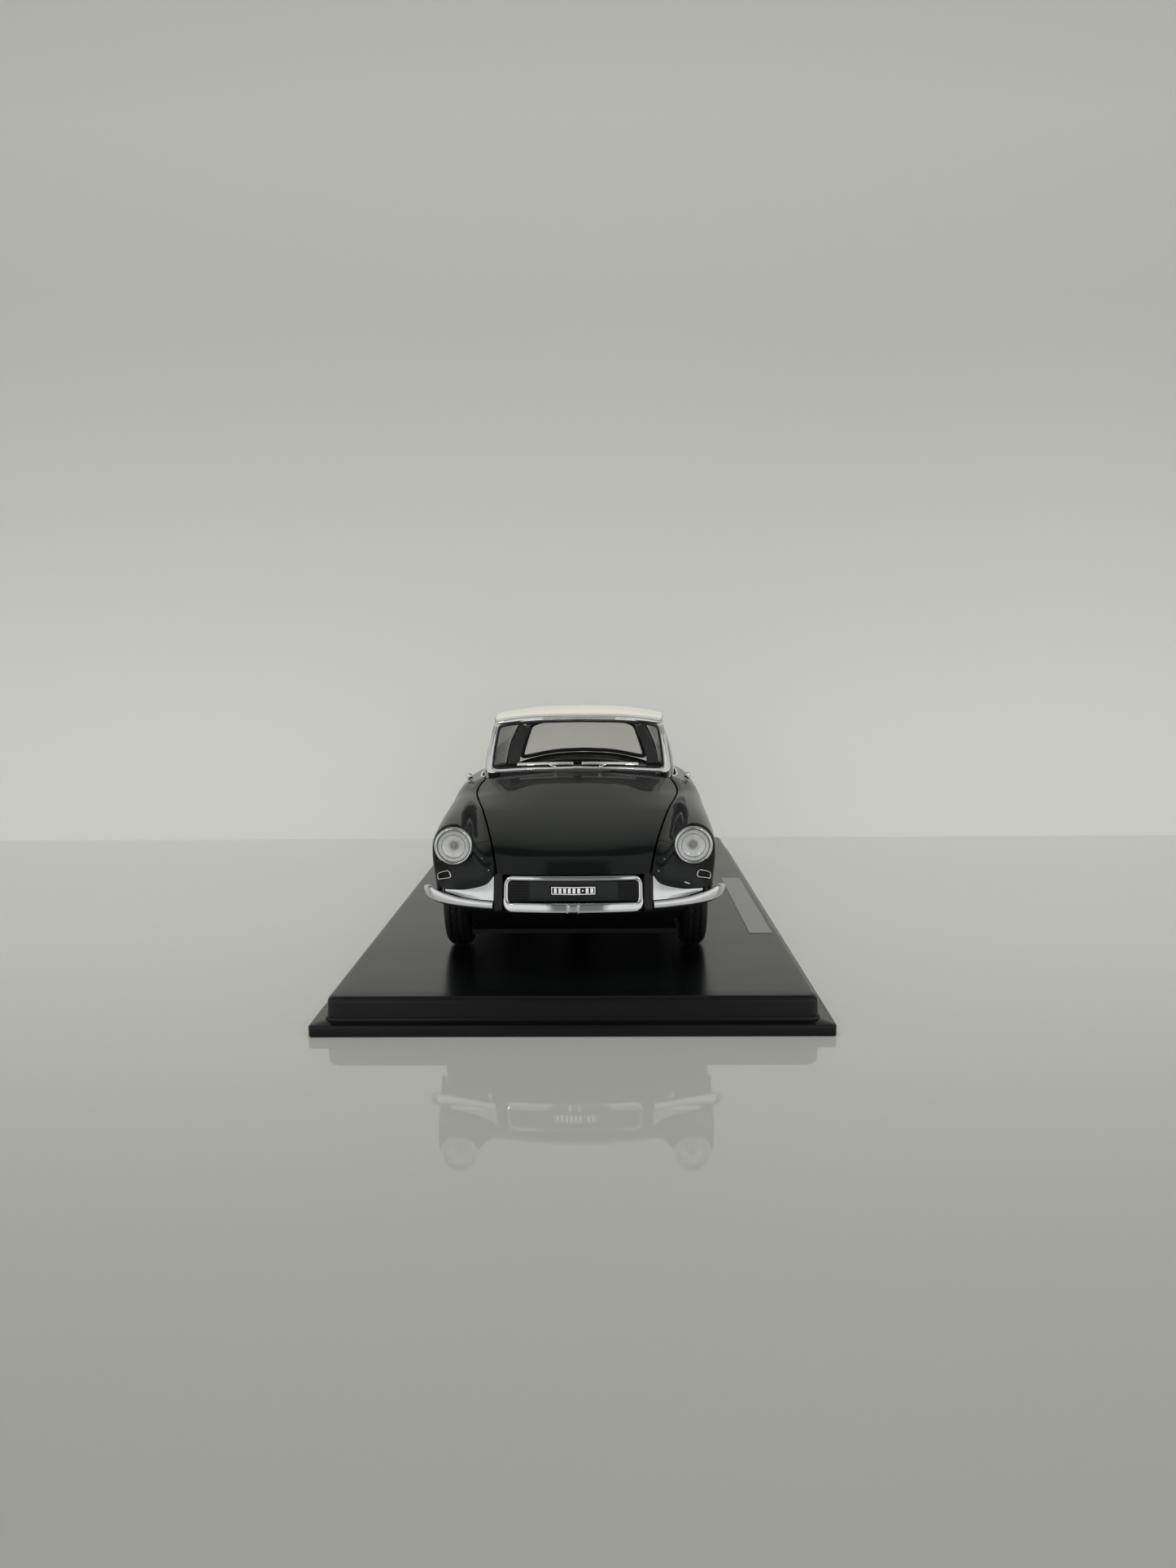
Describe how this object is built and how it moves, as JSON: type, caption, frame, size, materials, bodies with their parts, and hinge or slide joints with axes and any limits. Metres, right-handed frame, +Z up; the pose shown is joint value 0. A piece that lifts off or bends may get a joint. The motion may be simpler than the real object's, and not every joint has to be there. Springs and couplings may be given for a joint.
{
  "type": "diecast collector car",
  "caption": "Scale model of a 1960s saloon with faired headlamps and opening bonnet and front doors, screwed to a black display plinth.",
  "frame": {"origin": "middle of the plinth's underside", "axes": "+Z up, -Y towards the car's nose, +X towards the car's left side"},
  "size_m": [0.1204, 0.24, 0.0696],
  "materials": {
    "plinth_black": "satin moulded black plastic",
    "label_silver": "brushed silver foil, blank",
    "zinc_steel": "bright zinc plated",
    "chassis_black": "matt black plastic",
    "paint_dark_green": "very dark green-black gloss paint",
    "paint_ivory": "ivory gloss paint",
    "quarter_grey": "ribbed satin silver-grey",
    "clear_glazing": "clear moulded plastic glazing",
    "lamp_lens": "clear fluted plastic",
    "chrome": "bright plated plastic",
    "wheel_silver": "satin silver with a bright hub cap",
    "tyre_black": "matt black rubber",
    "grille_black": "black moulded plastic",
    "rubber_black": "black rubber",
    "lamp_red": "clear red plastic",
    "interior_brown": "matt brown moulded seats",
    "dash_black": "matt dark plastic",
    "engine_grey": "satin dark grey plastic"
  },
  "bodies": {
    "plinth_and_shell": {"plinth": "plinth_black", "plinth_label": "label_silver", "plinth_screws": "zinc_steel", "chassis": "chassis_black", "bonnet_hinge_pins": "zinc_steel", "bulkhead": "chassis_black", "scuttle_corners": "paint_dark_green", "front_wing_left": "paint_dark_green", "front_wing_right": "paint_dark_green", "sills": "paint_dark_green", "door_hinge_pins": "zinc_steel", "rear_door_left": "paint_dark_green", "rear_door_right": "paint_dark_green", "rear_door_glass": "clear_glazing", "rear_wing_left": "paint_dark_green", "rear_wing_right": "paint_dark_green", "roof": "paint_ivory", "rear_quarters": "quarter_grey", "windscreen": "clear_glazing", "windscreen_frame": "chrome", "rear_window": "clear_glazing", "boot_lid": "paint_dark_green", "tail_panel": "paint_dark_green", "grille_frame": "chrome", "grille_panel": "grille_black", "front_plate": "grille_black", "bumper_ends": "chrome", "overriders": "rubber_black", "front_valance": "grille_black", "headlamp_bezels": "chrome", "headlamp_reflectors": "chrome", "headlamp_lenses": "lamp_lens", "front_indicators": "lamp_lens", "tail_lamps": "lamp_red", "rear_bumper": "chrome", "cabin_floor": "interior_brown", "front_seats": "interior_brown", "rear_bench": "interior_brown", "dashboard": "dash_black", "steering_wheel": "dash_black", "engine": "engine_grey", "wipers": "chrome"},
    "bonnet_body": {"bonnet": "paint_dark_green", "bonnet_hinge_arms": "paint_dark_green"},
    "left_door_body": {"door_left": "paint_dark_green", "door_glass_left": "clear_glazing", "door_hinge_lugs_left": "paint_dark_green"},
    "right_door_body": {"door_right": "paint_dark_green", "door_glass_right": "clear_glazing", "door_hinge_lugs_right": "paint_dark_green"},
    "front_wheels_body": {"front_axle": "zinc_steel", "front_wheel_left": "wheel_silver", "front_wheel_right": "wheel_silver", "front_tyre_left": "tyre_black", "front_tyre_right": "tyre_black"},
    "rear_wheels_body": {"rear_axle": "zinc_steel", "rear_wheel_left": "wheel_silver", "rear_wheel_right": "wheel_silver", "rear_tyre_left": "tyre_black", "rear_tyre_right": "tyre_black"}
  },
  "joints": [
    {"name": "bonnet_hinge", "type": "hinge", "parent": "plinth_and_shell", "child": "bonnet_body", "pos_m": [0, -0.033, 0.0503], "axis": [-1, 0, 0], "range_deg": [0, 36]},
    {"name": "left_door_hinge", "type": "hinge", "parent": "plinth_and_shell", "child": "left_door_body", "pos_m": [0.0365, -0.0346, 0.0323], "axis": [0, 0, -1], "range_deg": [0, 50]},
    {"name": "right_door_hinge", "type": "hinge", "parent": "plinth_and_shell", "child": "right_door_body", "pos_m": [-0.0365, -0.0346, 0.0323], "axis": [0, 0, 1], "range_deg": [0, 50]},
    {"name": "front_axle_spin", "type": "hinge", "parent": "plinth_and_shell", "child": "front_wheels_body", "pos_m": [0, -0.0655, 0.02215], "axis": [1, 0, 0], "continuous": true},
    {"name": "rear_axle_spin", "type": "hinge", "parent": "plinth_and_shell", "child": "rear_wheels_body", "pos_m": [0, 0.0647, 0.02215], "axis": [1, 0, 0], "continuous": true}
  ]
}
